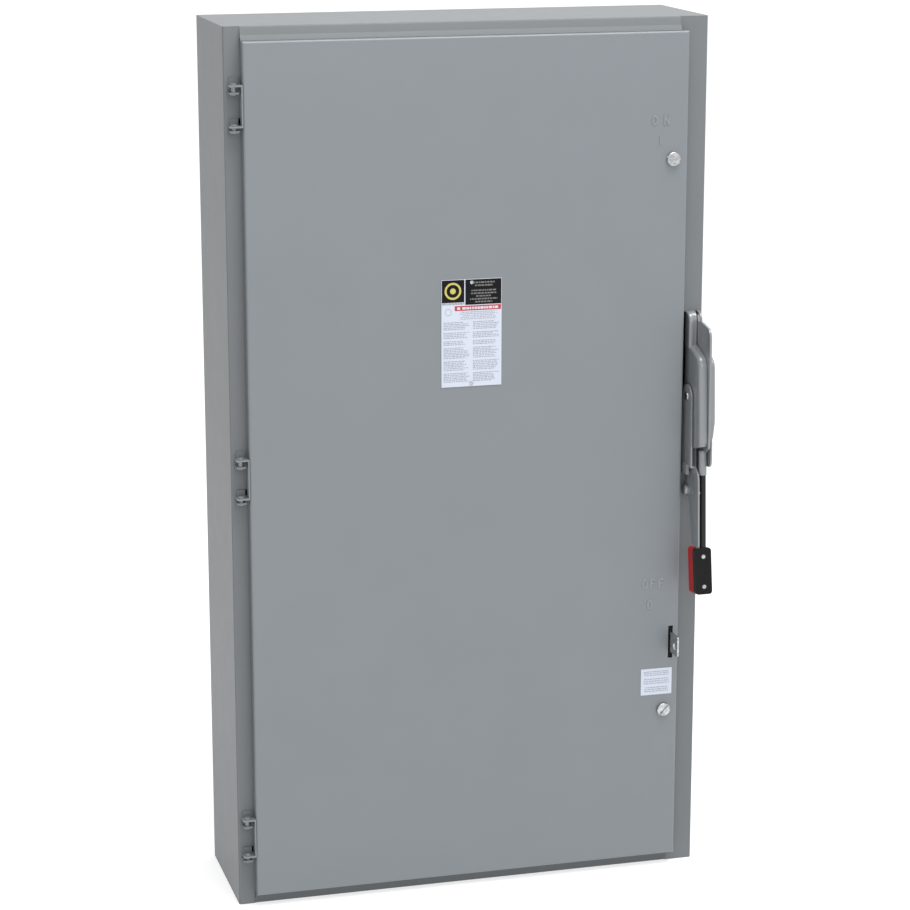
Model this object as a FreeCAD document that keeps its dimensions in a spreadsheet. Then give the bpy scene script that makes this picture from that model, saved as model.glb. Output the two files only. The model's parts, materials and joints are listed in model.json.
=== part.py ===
import FreeCAD, Part
import math
import os
import Sketcher
from types import SimpleNamespace

# Fusible safety switch in a wall box: a hinged pan door, a side handle on the right front flange,
# and the switch itself inside.
# Axes: +X to the right seen from the front, +Z up, the front faces -Y.
# The origin is the middle of the back face, which lies against the wall.  All lengths are millimetres.

DIMENSIONS = (
    ("box_width", 702.0, "outside width of the enclosure"),
    ("box_height", 1278.0, "outside height of the enclosure"),
    ("box_depth", 202.0, "wall to the front flange face"),
    ("sheet", 2.0, "sheet steel thickness"),
    ("bend_radius", 3.0, "outside radius of a folded edge"),
    ("flange_right", 42.0, "front flange beside the handle"),
    ("flange_left", 36.0, "front flange behind the hinges"),
    ("flange_left_end", 23.4, "left flange where the end walls meet it"),
    ("flange_end", 30.0, "front flange of the end walls"),
    ("wall_hole_x", 530.0, "wall fixing holes, spacing across"),
    ("wall_hole_z", 1170.0, "wall fixing holes, spacing up"),
    ("wall_hole_radius", 5.5, "wall fixing holes"),
    ("door_left", -327.5, "left edge of the door"),
    ("door_right", 317.0, "right edge of the door"),
    ("door_top", 619.5, "door top above mid height"),
    ("door_bottom", 621.0, "door bottom below mid height"),
    ("door_pan", 18.0, "door face in front of the flange"),
    ("door_gap", 0.6, "gap between the door rim and the flange"),
    ("hinge_x", -339.5, "hinge pin line, across"),
    ("hinge_front", 12.0, "hinge pin line, in front of the flange"),
    ("hinge_outer", 531.5, "outer hinges, above and below mid height"),
    ("hinge_middle", 6.5, "height of the middle hinge"),
    ("hinge_span", 58.5, "door leaf, outside its ears"),
    ("hinge_ear", 2.5, "thickness of a hinge ear"),
    ("hinge_drop_upper", 7.5, "upper box ear, top below its door ear"),
    ("hinge_drop_lower", 3.8, "lower box ear, top below its door ear"),
    ("hinge_pad", 9.0, "foot of a box ear, above its door ear"),
    ("hinge_pin_radius", 3.0, "hinge rivet shank"),
    ("running_gap", 0.05, "radial clearance of a turning fit"),
    ("latch_x", 295.0, "door fasteners, across"),
    ("latch_upper", 438.5, "height of the upper door fastener"),
    ("latch_lower", -389.0, "height of the lower door fastener"),
    ("latch_head_radius", 10.2, "head of a door fastener"),
    ("latch_head", 5.0, "thickness of the head"),
    ("latch_shank_radius", 4.0, "shank of a door fastener"),
    ("latch_reach", 34.0, "cam of a door fastener, from its axis"),
    ("hasp_x", 303.3, "left face of the padlock hasp"),
    ("hasp_thick", 2.6, "hasp plate thickness"),
    ("hasp_height", -283.0, "middle of the hasp"),
    ("hasp_tall", 31.0, "hasp plate height"),
    ("hasp_front", 53.0, "hasp end in front of the flange"),
    ("padlock_radius", 5.5, "padlock hole"),
    ("slot_middle", -284.6, "middle of the door slot"),
    ("slot_tall", 50.0, "door slot height"),
    ("slot_left", 301.5, "door slot, left side"),
    ("slot_right", 308.6, "door slot, right side"),
    ("housing_left", 326.5, "left face of the handle housing"),
    ("housing_right", 352.0, "right face of the handle housing"),
    ("lever_left", 338.6, "left face of the lever plate"),
    ("lever_right", 341.8, "right face of the lever plate"),
    ("lever_side_gap", 0.5, "clearance beside the lever plate"),
    ("housing_foot", 15.5, "bottom of the housing above mid height"),
    ("lobe_low", 160.0, "lobes above the cheeks, hidden lower end"),
    ("lobe_top", 213.0, "lobes above the cheeks, upper end"),
    ("lobe_front", 17.0, "lobes in front of the flange"),
    ("pivot_front", 32.0, "lever pivot in front of the flange"),
    ("pivot_height", 141.0, "lever pivot above mid height"),
    ("pivot_radius", 5.0, "lever pivot pin"),
    ("lever_lean", 3.7, "lean of the hanging lever away from the box, degrees"),
    ("rod_radius", 4.7, "handle rod"),
    ("rod_x", 338.3, "handle rod across"),
    ("rod_offset", 8.0, "rod axis in front of the pivot line"),
    ("socket_radius", 5.8, "socket of the rod at the end of the lever"),
    ("socket_top", 127.0, "socket, upper end below the pivot"),
    ("socket_end", 164.0, "socket, lower end below the pivot"),
    ("rod_top", 156.0, "rod start below the pivot"),
    ("rod_end", 277.0, "round part of the rod, end below the pivot"),
    ("grip_top", 273.0, "grip top below the pivot"),
    ("grip_long", 69.0, "grip length"),
    ("grip_wide", 26.0, "grip width"),
    ("grip_centre", 336.2, "middle of the grip across"),
    ("grip_black", 8.5, "thickness of the black half"),
    ("grip_red", 20.0, "thickness of the red half"),
    ("grip_face", 13.5, "grip face in front of the pivot line, at its top"),
    ("grip_tilt", 4.5, "extra lean of the grip, degrees"),
    ("tang_thick", 3.0, "flat end of the rod inside the grip"),
    ("grip_rivet_radius", 2.4, "grip rivets"),
    ("plate_x", 322.5, "left face of the lock plate, upper part"),
    ("plate_low_x", 328.4, "left face of the lock plate, lower part"),
    ("plate_thick", 2.5, "lock plate thickness"),
    ("plate_step", -11.0, "height of the step in the lock plate"),
    ("plate_rivet_front", 20.0, "lock plate rivet in front of the flange"),
    ("plate_rivet_height", 90.0, "lock plate rivet above mid height"),
    ("plate_screw_front", 11.0, "lock plate screw in front of the flange"),
    ("plate_screw_height", -53.0, "lock plate screw above mid height"),
    ("plate_rivet_radius", 3.0, "shanks of the lock plate rivet and screw"),
    ("label_thick", 0.8, "rating plate"),
    ("pole_pitch", 115.0, "spacing of the three poles"),
    ("pole_middle", -15.0, "middle pole across"),
    ("pan_face", 20.0, "front of the mounting pan from the wall"),
    ("pan_thick", 3.0, "mounting pan"),
    ("line_base_face", 55.0, "front of the line base from the wall"),
    ("low_base_face", 45.0, "front of the hinge base and the load base from the wall"),
    ("barrier_face", 150.0, "front of the arc chutes, the barriers and the mechanism cover"),
    ("blade_axis", 70.0, "blade hinge line from the wall"),
    ("blade_height", 150.0, "blade hinge line above mid height"),
    ("blade_long", 125.0, "blade beyond its hinge"),
    ("blade_wide", 22.0, "blade width"),
    ("blade_thick", 8.0, "blade thickness"),
    ("blade_open", 55.0, "tilt of the open blades, degrees"),
    ("crossbar_side", 28.0, "square insulated crossbar"),
    ("crossbar_arm", 58.0, "crossbar from the blade hinge"),
    ("fuse_axis", 92.0, "fuse centre line from the wall"),
    ("fuse_radius", 30.0, "fuse tube"),
    ("lug_bore_radius", 12.0, "cable hole of a lug"),
)

doc = FreeCAD.newDocument("SafetySwitch")
NODES = []


class Dim:
    """A length or an angle that carries its formula on the sheet together with its present number."""

    def __init__(self, text, number):
        self.text = text
        self.number = number

    def __add__(self, other):
        other = dim(other)
        return Dim(f"({self.text} + {other.text})", self.number + other.number)

    def __sub__(self, other):
        other = dim(other)
        return Dim(f"({self.text} - {other.text})", self.number - other.number)

    def __mul__(self, other):
        other = dim(other)
        return Dim(f"({self.text} * {other.text})", self.number * other.number)

    def __truediv__(self, other):
        other = dim(other)
        return Dim(f"({self.text} / {other.text})", self.number / other.number)

    def __radd__(self, other):
        return dim(other) + self

    def __rsub__(self, other):
        return dim(other) - self

    def __neg__(self):
        return dim(0) - self


def dim(value):
    """Turn a plain number into a Dim; a Dim passes through."""
    if isinstance(value, Dim):
        return value
    return Dim(f"({float(value)!r})", float(value))


def make_sheet():
    """Write the driving dimensions to the sheet and return them as named Dims."""
    sheet = doc.addObject("Spreadsheet::Sheet", "Dimensions")
    names = {}
    for row, (alias, value, meaning) in enumerate(DIMENSIONS, start=1):
        sheet.set(f"A{row}", alias)
        sheet.set(f"B{row}", str(value))
        sheet.set(f"C{row}", meaning)
        sheet.setAlias(f"B{row}", alias)
        names[alias] = Dim(f"Dimensions.{alias}", value)
    doc.recompute()
    return SimpleNamespace(**names)


P = make_sheet()


def bind(obj, prop, value):
    """Tie one property of an object to the sheet."""
    obj.setExpression(prop, dim(value).text)


def place(obj, x=0, y=0, z=0, rotation=None):
    """Give an object its turn, then tie its position to the sheet."""
    if rotation is not None:
        obj.Placement = FreeCAD.Placement(FreeCAD.Vector(0, 0, 0), rotation)
    for axis, value in zip("xyz", (x, y, z)):
        bind(obj, f"Placement.Base.{axis}", value)
    return obj


def front(distance):
    """Y of a point this far in front of the flange face."""
    return -(P.box_depth + distance)


def box(name, x, y, z):
    """A block between two X, two Y and two Z values."""
    block = doc.addObject("Part::Box", name)
    for prop, (low, high) in zip(("Length", "Width", "Height"), (x, y, z)):
        bind(block, prop, dim(high) - low)
    return place(block, x[0], y[0], z[0])


TURN = {
    "X": FreeCAD.Rotation(FreeCAD.Vector(0, 1, 0), 90),
    "Y": FreeCAD.Rotation(FreeCAD.Vector(1, 0, 0), -90),
    "Z": FreeCAD.Rotation(),
}


def cylinder(name, axis, start, radius, length):
    """A round bar that starts at a point and runs along +X, +Y or +Z."""
    bar = doc.addObject("Part::Cylinder", name)
    bind(bar, "Radius", radius)
    bind(bar, "Height", length)
    return place(bar, *start, rotation=TURN[axis])


def hexagon(name, start, across_corners, length):
    """A hexagonal nut body that starts at a point and runs along +Y."""
    nut = doc.addObject("Part::Prism", name)
    nut.Polygon = 6
    bind(nut, "Circumradius", dim(across_corners) / 2)
    bind(nut, "Height", length)
    return place(nut, *start, rotation=TURN["Y"])


def fuse(name, *parts):
    """Several overlapping or touching shapes as one solid."""
    joined = doc.addObject("Part::MultiFuse", name)
    joined.Shapes = list(parts)
    joined.Refine = True
    return joined


def group(name, parts):
    """Separate solids kept together."""
    together = doc.addObject("Part::Compound", name)
    together.Links = list(parts)
    return together


def cut(name, base, *tools):
    """Take the tools out of the base."""
    result = doc.addObject("Part::Cut", name)
    result.Base = base
    result.Tool = tools[0] if len(tools) == 1 else group(name + "_tools", tools)
    result.Refine = True
    return result


def rounded(name, base, along, wanted, radius):
    """Round the edges that run along one of the axes and whose two ends both pass a test.

    Along "O" takes closed round edges instead, tested at their one seam point.
    """
    doc.recompute()
    size = dim(radius).number
    edges = []
    for index, edge in enumerate(base.Shape.Edges, start=1):
        ends = [vertex.Point for vertex in edge.Vertexes]
        if along == "O":
            chosen = len(ends) == 1
        else:
            run = (ends[-1] - ends[0]).normalize() if len(ends) == 2 else FreeCAD.Vector()
            chosen = any(abs(getattr(run, axis.lower())) > 0.99 for axis in along)
        if chosen and all(wanted(point) for point in ends):
            edges.append((index, size, size))
    if not edges:
        raise RuntimeError(f"{name} found no edge to round")
    fillet = doc.addObject("Part::Fillet", name)
    fillet.Base = base
    fillet.Edges = edges
    return fillet


def near(value, target):
    """True when a coordinate is at the wanted place."""
    return abs(value - dim(target).number) < 0.02


def prism(name, role, points, start, length):
    """Pad a closed outline, drawn on one of the body's own origin planes, by a length.

    XY_Plane outlines are (x, y) and grow along +Z, YZ_Plane outlines are (y, z) and grow along +X,
    and XZ_Plane outlines are (x, z) and grow along -Y.  start moves the body along its growth axis.
    """
    body = doc.addObject("PartDesign::Body", name)
    plane = next(feature for feature in body.Origin.OriginFeatures if feature.Role == role)
    sketch = body.newObject("Sketcher::SketchObject", name + "_outline")
    sketch.AttachmentSupport = [(plane, "")]
    sketch.MapMode = "FlatFace"
    corners = [FreeCAD.Vector(dim(u).number, dim(v).number, 0) for u, v in points]
    count = len(corners)
    for index in range(count):
        sketch.addGeometry(Part.LineSegment(corners[index], corners[(index + 1) % count]), False)
    for index in range(count):
        sketch.addConstraint(Sketcher.Constraint("Coincident", index, 2, (index + 1) % count, 1))
    for index, (u, v) in enumerate(points):
        for kind, value in (("DistanceX", u), ("DistanceY", v)):
            number = sketch.addConstraint(
                Sketcher.Constraint(kind, -1, 1, index, 1, dim(value).number))
            bind(sketch, f"Constraints[{number}]", value)
    pad = body.newObject("PartDesign::Pad", name + "_pad")
    pad.Profile = sketch
    bind(pad, "Length", length)
    body.Tip = pad
    shift = {"XY_Plane": (0, 0, start), "YZ_Plane": (start, 0, 0), "XZ_Plane": (0, start, 0)}[role]
    return place(body, *shift)


def node(obj, label):
    """Register a finished sub-part under its own name."""
    obj.Label = label
    NODES.append(obj)
    return obj


# ---------------------------------------------------------------- enclosure

def enclosure_wrapper():
    """Back, sides and front side flanges, folded from one sheet."""
    half = P.box_width / 2
    inner = half - P.sheet
    face = -P.box_depth
    behind = face + P.sheet
    outline = [
        (-half, 0), (half, 0), (half, face), (half - P.flange_right, face),
        (half - P.flange_right, behind), (inner, behind), (inner, -P.sheet), (-inner, -P.sheet),
        (-inner, behind), (P.flange_left - half, behind), (P.flange_left - half, face), (-half, face),
    ]
    shell = prism("wrapper_sheet", "XY_Plane", outline, -P.box_height / 2, P.box_height)
    folded = rounded("wrapper_bends", shell, "Z",
                     lambda p: near(abs(p.x), half) and (near(p.y, 0) or near(p.y, face)),
                     P.bend_radius)
    top = P.box_height / 2
    tools = []
    for side, (low, high) in (("top", (top - P.flange_end, top + 1)),
                              ("bottom", (-top - 1, P.flange_end - top))):
        tools.append(box(f"wrapper_notch_{side}",
                         (P.flange_left_end - half, P.flange_left - half + 1),
                         (face - 1, behind + 1), (low, high)))
    for column in (-0.5, 0.5):
        for row in (-0.5, 0.5):
            tools.append(cylinder("wrapper_wall_hole", "Y",
                                  (P.wall_hole_x * column, -P.sheet - 1, P.wall_hole_z * row),
                                  P.wall_hole_radius, P.sheet + 2))
    # The lever plate swings through this opening, which also runs on beside the housing.
    tools.append(box("wrapper_lever_slot", (P.housing_left - 6, P.lever_right + 1.5),
                     (face - 1, behind + 1), (P.pivot_height - 65, P.pivot_height + 71)))
    # A narrow slot in the flange beside the foot of each lower box ear.
    for door_ear_top in hinge_ear_tops()[1::2]:
        tools.append(box("wrapper_hinge_slot", (P.hinge_x + 8.3, P.hinge_x + 11.5),
                         (face - 1, behind + 1), (door_ear_top, door_ear_top + P.hinge_pad)))
    node(cut("wrapper_cut", folded, *tools), "enclosure_wrapper")


def end_wall(side):
    """Top (side 1) or bottom (side -1) wall; its front flange leans out to a rain lip at the door."""
    label = "end_wall_top" if side > 0 else "end_wall_bottom"
    half = P.box_width / 2
    top = P.box_height / 2
    plate_z = (top - P.sheet, top) if side > 0 else (-top, P.sheet - top)
    plate = box(label + "_plate", (P.sheet - half, half - P.sheet),
                (P.sheet - P.box_depth, -P.sheet), plate_z)
    door_edge = P.door_top if side > 0 else P.door_bottom
    lip = top - door_edge - 0.3
    # (in front of the flange face, below the end of the box), once round the folded sheet
    profile = [
        (0, 0), (3.5, 12), (7.7, lip), (5.7, lip), (-2.2, 14), (-2.2, P.flange_end),
        (-4.2, P.flange_end), (-4.2, 12), (1, 11.2), (-P.sheet, P.sheet), (-P.sheet, 0),
    ]
    outline = [(front(f), (top - drop) * side) for f, drop in profile]
    if side < 0:
        outline.reverse()
    fold = prism(label + "_fold", "YZ_Plane", outline, P.flange_left_end - half,
                 P.box_width - P.flange_left_end - P.flange_right)
    bend = rounded(label + "_bend", fuse(label + "_solid", plate, fold), "X",
                   lambda p: near(p.y, -P.box_depth) and near(abs(p.z), top), 2.8)
    node(bend, label)


# ---------------------------------------------------------------- door

def door_panel():
    """Pan door: a flat face with a rim folded back towards the flange."""
    face = front(P.door_pan)
    back = front(P.door_gap)
    z = (-P.door_bottom, P.door_top)
    block = box("door_block", (P.door_left, P.door_right), (face, back), z)
    folded = rounded("door_bends", block, "XZ", lambda p: near(p.y, face), P.bend_radius)
    hollow = box("door_hollow", (P.door_left + P.sheet, P.door_right - P.sheet),
                 (face + P.sheet, back + 1), (z[0] + P.sheet, z[1] - P.sheet))
    tools = [hollow]
    for height in (P.latch_upper, P.latch_lower):
        tools.append(cylinder("door_latch_hole", "Y", (P.latch_x, face - 1, height),
                              P.latch_shank_radius + P.running_gap, P.sheet + 2))
    tools.append(box("door_hasp_slot", (P.slot_left, P.slot_right), (face - 1, face + P.sheet + 1),
                     (P.slot_middle - P.slot_tall / 2, P.slot_middle + P.slot_tall / 2)))
    node(cut("door_cut", folded, *tools), "door_panel")


def door_stiffeners():
    """Two channels spot-welded up the inside of the door."""
    inside = front(P.door_pan) + P.sheet
    channels = []
    for index, middle in enumerate((-110, 110)):
        outer = box(f"stiffener_outer_{index}", (middle - 22, middle + 22),
                    (inside, inside + 12), (-560, 560))
        inner = box(f"stiffener_inner_{index}", (middle - 20.4, middle + 20.4),
                    (inside - 1, inside + 10.4), (-561, 561))
        channels.append(cut(f"stiffener_{index}", outer, inner))
    node(group("stiffener_pair", channels), "door_stiffener")


def hinge_heights():
    """Middles of the three hinges."""
    return [P.hinge_outer, P.hinge_middle, -P.hinge_outer]


def hinge_ear_tops():
    """Tops of the two door ears of each hinge, from the top of the door down."""
    tops = []
    for middle in hinge_heights():
        tops.append(middle + P.hinge_span / 2)
        tops.append(middle - P.hinge_span / 2 + P.hinge_ear)
    return tops


def box_ear_tops():
    """Tops of the box ears, each one just below its door ear."""
    drops = (P.hinge_drop_upper, P.hinge_drop_lower) * len(hinge_heights())
    return [top - P.hinge_ear - drop for top, drop in zip(hinge_ear_tops(), drops)]


def pin_line(z):
    """Point of the hinge line at a height."""
    return (P.hinge_x, front(P.hinge_front), z)


def hinge_leaves_door():
    """C-shaped leaves welded to the left rim of the door."""
    leaves = []
    y = (front(P.hinge_front + 6), front(P.hinge_front - 6))
    for index, middle in enumerate(hinge_heights()):
        low = middle - P.hinge_span / 2
        high = middle + P.hinge_span / 2
        web = box(f"door_leaf_web_{index}", (P.door_left - 2, P.door_left), y, (low, high))
        ears = [box("door_ear", (P.hinge_x - 6.5, P.door_left - 2), y, (start, start + P.hinge_ear))
                for start in (low, high - P.hinge_ear)]
        bore = cylinder("door_ear_bore", "Z", pin_line(low - 1),
                        P.hinge_pin_radius + P.running_gap, P.hinge_span + 2)
        leaves.append(cut(f"door_leaf_{index}", fuse(f"door_leaf_c_{index}", web, *ears), bore))
    node(group("door_leaf_group", leaves), "hinge_leaf_door")


def hinge_leaves_box():
    """Small angles welded to the left flange: an ear, with its foot running up behind the door ear."""
    angles = []
    for index, (ear_top, door_ear_top) in enumerate(zip(box_ear_tops(), hinge_ear_tops())):
        ear_low = ear_top - P.hinge_ear
        foot = box(f"box_leaf_foot_{index}", (P.hinge_x - 4, P.hinge_x + 8),
                   (front(2), front(0)), (ear_low, door_ear_top + P.hinge_pad))
        ear = box(f"box_ear_{index}", (P.hinge_x - 6.5, P.hinge_x + 6.5),
                  (front(P.hinge_front + 6), front(0)), (ear_low, ear_top))
        bore = cylinder(f"box_ear_bore_{index}", "Z", pin_line(ear_low - 1), P.hinge_pin_radius,
                        P.hinge_ear + 2)
        angles.append(cut(f"box_leaf_{index}", fuse(f"box_leaf_l_{index}", foot, ear), bore))
    node(group("box_leaf_group", angles), "hinge_leaf_box")


def hinge_rivets():
    """Two short headed pins at each hinge, tight in the box ear and free in the door ear."""
    rivets = []
    for index, (ear_top, door_ear_top) in enumerate(zip(box_ear_tops(), hinge_ear_tops())):
        ear_low = ear_top - P.hinge_ear
        shank = cylinder(f"rivet_shank_{index}", "Z", pin_line(ear_low - 1.5), P.hinge_pin_radius,
                         door_ear_top - ear_low + 2)
        head = cylinder(f"rivet_head_{index}", "Z", pin_line(door_ear_top + 0.4), 4.2, 1.8)
        tail = cylinder(f"rivet_tail_{index}", "Z", pin_line(ear_low - 1.5), 4.2, 1.5)
        rivets.append(fuse(f"hinge_rivet_{index}", shank, head, tail))
    node(group("rivet_group", rivets), "hinge_rivet")


def door_fastener(level, height, slot_angle):
    """Quarter-turn fastener: slotted head and shank, with its cam behind the flange line."""
    face = front(P.door_pan)
    head_start = face - 0.2 - P.latch_head
    head = cylinder(f"latch_head_{level}", "Y", (P.latch_x, head_start, height),
                    P.latch_head_radius, P.latch_head)
    domed = rounded(f"latch_dome_{level}", head, "O", lambda p: near(p.y, head_start), 1.6)
    shank = cylinder(f"latch_shank_{level}", "Y", (P.latch_x, face - 0.2, height),
                     P.latch_shank_radius, P.door_pan + P.sheet + 5)
    slot = doc.addObject("Part::Box", f"latch_slot_{level}")
    slot.Length = 24
    slot.Width = 3.2
    slot.Height = 2.8
    turn = FreeCAD.Rotation(FreeCAD.Vector(0, 1, 0), -slot_angle)
    offset = turn.multVec(FreeCAD.Vector(-12, 0, -1.4))
    place(slot, P.latch_x + offset.x, head_start - 0.2, height + offset.z, rotation=turn)
    node(cut(f"latch_cut_{level}", fuse(f"latch_{level}", domed, shank), slot),
         f"door_fastener_{level}")
    cam_y = (P.sheet - P.box_depth + 0.5, P.sheet - P.box_depth + 3)
    cam = box(f"cam_plate_{level}", (P.latch_x - 8, P.latch_x + 8), cam_y,
              (height - P.latch_reach, height + 8))
    cam_round = rounded(f"cam_round_{level}", cam, "Y",
                        lambda p: near(p.z, height - P.latch_reach), 4)
    bore = cylinder(f"cam_bore_{level}", "Y", (P.latch_x, cam_y[0] - 1, height),
                    P.latch_shank_radius, 5)
    node(cut(f"cam_{level}", cam_round, bore), f"fastener_cam_{level}")


def padlock_hasp():
    """Angle welded behind the right flange; its blade comes out through the door slot."""
    half = P.hasp_tall / 2
    x = (P.hasp_x, P.hasp_x + P.hasp_thick)
    z = (P.hasp_height - half, P.hasp_height + half)
    behind = P.sheet - P.box_depth
    blade = box("hasp_blade", x, (front(P.hasp_front), behind + 3), z)
    corners = rounded("hasp_corners", blade, "X", lambda p: near(p.y, front(P.hasp_front)), 4)
    foot = box("hasp_foot", (P.hasp_x, P.hasp_x + 34), (behind, behind + 3), z)
    hole = cylinder("hasp_hole", "X", (P.hasp_x - 1, front(P.hasp_front - 13), P.hasp_height - 3),
                    P.padlock_radius, P.hasp_thick + 2)
    node(cut("hasp_cut", fuse("hasp_angle", corners, foot), hole), "padlock_hasp")


def label_plates():
    """Rating plate with two drive rivets, and a small notice plate above the lower fastener."""
    face = front(P.door_pan)
    low, high = 123.6, 278.5
    node(box("rating_sheet", (-48.2, 40.4), (face - P.label_thick, face), (low, high)),
         "rating_plate")
    rivets = [cylinder("label_rivet_head", "Y", (-4, face - P.label_thick - 1.2, height), 2.6, 1.2)
              for height in (high - 4.5, low + 4.5)]
    node(group("label_rivets", rivets), "label_rivet")
    node(box("notice_sheet", (259.6, 308), (face - 0.4, face), (-365.3, -324.5)), "notice_plate")


# ---------------------------------------------------------------- handle

def at_corner(height):
    """Test for an edge across the housing at a height, away from the flange."""
    return lambda p: near(p.z, height) and p.y < front(30).number


def cheek(side, x, outline, corners):
    """One cheek of the housing: its side outline, with the given corners of the front edge rounded."""
    shape = prism(f"cheek_{side}", "YZ_Plane", outline, x[0], x[1] - x[0])
    for index, (height, radius) in enumerate(corners):
        shape = rounded(f"cheek_{side}_corner_{index}", shape, "X", at_corner(height), radius)
    return shape


def crested(name, x, reach):
    """An upright rib of the lobes, whose top is nearly a quarter round."""
    rib = box(name, x, (front(reach), front(0)), (P.lobe_low, P.lobe_top))
    return rounded(f"{name}_crest", rib, "X",
                   lambda p: near(p.y, front(reach)) and near(p.z, P.lobe_top), reach - 1.5)


def handle_housing():
    """Cast guard of the lever: two cheeks and two lobes, joined below the lever."""
    left_in = P.lever_left - P.lever_side_gap
    right_in = P.lever_right + P.lever_side_gap
    left = cheek("left", (P.housing_left, left_in), [
        (front(0), 167.5), (front(9), 166.5), (front(58), 152.5), (front(62), 100),
        (front(66.5), 29), (front(62), 22.5), (front(38), P.housing_foot),
        (front(0), P.housing_foot)], ((152.5, 20), (29, 5)))
    right = cheek("right", (right_in, P.housing_right), [
        (front(0), 167), (front(34), 160), (front(58), 145), (front(63), 58), (front(57), 34),
        (front(44), P.housing_foot), (front(0), P.housing_foot)], ((145, 16), (58, 14), (34, 14)))

    def front_edge(p):
        return p.y < front(30).number

    left_soft = rounded("cheek_left_soft", left, "YZ",
                        lambda p: near(p.x, P.housing_left) and front_edge(p), 5)
    right_soft = rounded("cheek_right_soft", right, "YZ",
                         lambda p: near(p.x, P.housing_right) and front_edge(p), 3.6)
    right_crest = rounded("cheek_right_crest", right_soft, "YZ",
                          lambda p: near(p.x, right_in) and front_edge(p), 1.4)
    lobe_left = crested("lobe_left", (P.housing_left - 1, P.housing_left + 6.7), P.lobe_front)
    lobe_right = crested("lobe_right", (right_in, right_in + 4), P.lobe_front)
    floor = crested("lobe_floor", (P.housing_left + 5, left_in), P.lobe_front - 3)

    def lobe_rim(p):
        return near(p.y, front(P.lobe_front)) or near(p.z, P.lobe_top)

    lobe_left_soft = rounded("lobe_left_soft", lobe_left, "YZ", lobe_rim, 2.8)
    lobe_right_soft = rounded("lobe_right_soft", lobe_right, "YZ", lobe_rim, 1.7)
    bridge = box("housing_bridge", (left_in, right_in), (front(12), front(0)),
                 (P.housing_foot, 60))
    # Thin web of the right cheek, which runs on below it beside the rod socket.
    web = prism("housing_web", "YZ_Plane",
                [(front(4), 60), (front(60), 60), (front(64), 26), (front(64), -10),
                 (front(42), -10), (front(28), -36), (front(4), -36)], right_in + 2.6, 2.4)
    web_round = rounded("housing_web_round", web, "X",
                        lambda p: near(p.z, -10) and near(p.y, front(64)), 10)
    pin_hole = cylinder("housing_pin_hole", "X",
                        (P.housing_left + 3, front(P.pivot_front), P.pivot_height),
                        P.pivot_radius, P.housing_right - P.housing_left - 6)
    whole = fuse("housing_cast", left_soft, right_crest, lobe_left_soft, lobe_right_soft, floor,
                 bridge, web_round)
    node(cut("housing_cut", whole, pin_hole), "handle_housing")


def pivot_pin():
    """Steel pin of the lever, held blind in both cheeks."""
    pin = cylinder("pivot_bar", "X", (P.housing_left + 3, front(P.pivot_front), P.pivot_height),
                   P.pivot_radius, P.housing_right - P.housing_left - 6)
    node(pin, "lever_pivot_pin")


def hang(name, parts, y, z, degrees):
    """Hang pieces, drawn about the X axis, at a point with their lower end leaning to the front."""
    turn = FreeCAD.Rotation(FreeCAD.Vector(1, 0, 0), -degrees.number)
    return place(group(name, parts), 0, y, z, rotation=turn)


def on_lever(name, *parts):
    """Hang pieces that were drawn about the lever pivot."""
    return hang(name, parts, front(P.pivot_front), P.pivot_height, P.lever_lean)


def on_grip(name, *parts):
    """Hang pieces that were drawn about the top of the grip."""
    lean = math.radians(P.lever_lean.number)
    y = front(P.pivot_front) - P.grip_top * math.sin(lean)
    z = P.pivot_height - P.grip_top * math.cos(lean)
    return hang(name, parts, y, z, P.lever_lean + P.grip_tilt)


def lever_arm():
    """Flat lever plate with a round head, and the socket of the rod along its lower end."""
    outline = [
        (13.5, 69), (11, 60), (-5, 60), (-39, 52), (-37, 0), (-33, -95), (-30, -122), (-13, -131),
        (-13, -160), (-3, -160), (-3, -131), (6, -120), (13, 0),
    ]
    plate = prism("lever_plate", "YZ_Plane", outline, P.lever_left, P.lever_right - P.lever_left)
    crown = rounded("lever_crown", plate, "X", lambda p: near(p.y, -5) and near(p.z, 60), 14)
    brow = rounded("lever_brow", crown, "X", lambda p: near(p.y, -39) and near(p.z, 52), 14)
    socket = cylinder("lever_socket", "Z", (P.rod_x, -P.rod_offset, -P.socket_end),
                      P.socket_radius, P.socket_end - P.socket_top)
    socket_soft = rounded("lever_socket_soft", socket, "O",
                          lambda p: near(p.z, -P.socket_top), 3)
    rod_bore = cylinder("lever_rod_bore", "Z", (P.rod_x, -P.rod_offset, -P.socket_end - 1),
                        P.rod_radius, P.socket_end - P.rod_top + 1)
    pin_bore = cylinder("lever_pin_bore", "X", (P.lever_left - 5, 0, 0),
                        P.pivot_radius + P.running_gap, 14)
    arm = cut("lever_cast", fuse("lever_blank", brow, socket_soft), rod_bore, pin_bore)
    node(on_lever("lever_hung", arm), "lever_arm")


def grip_block(name, y):
    """One half of the grip with rounded end faces."""
    half = P.grip_wide / 2
    block = box(name + "_block", (P.grip_centre - half, P.grip_centre + half), y,
                (-P.grip_long, 0))
    return rounded(name + "_round", block, "Y", lambda p: True, 5)


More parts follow.
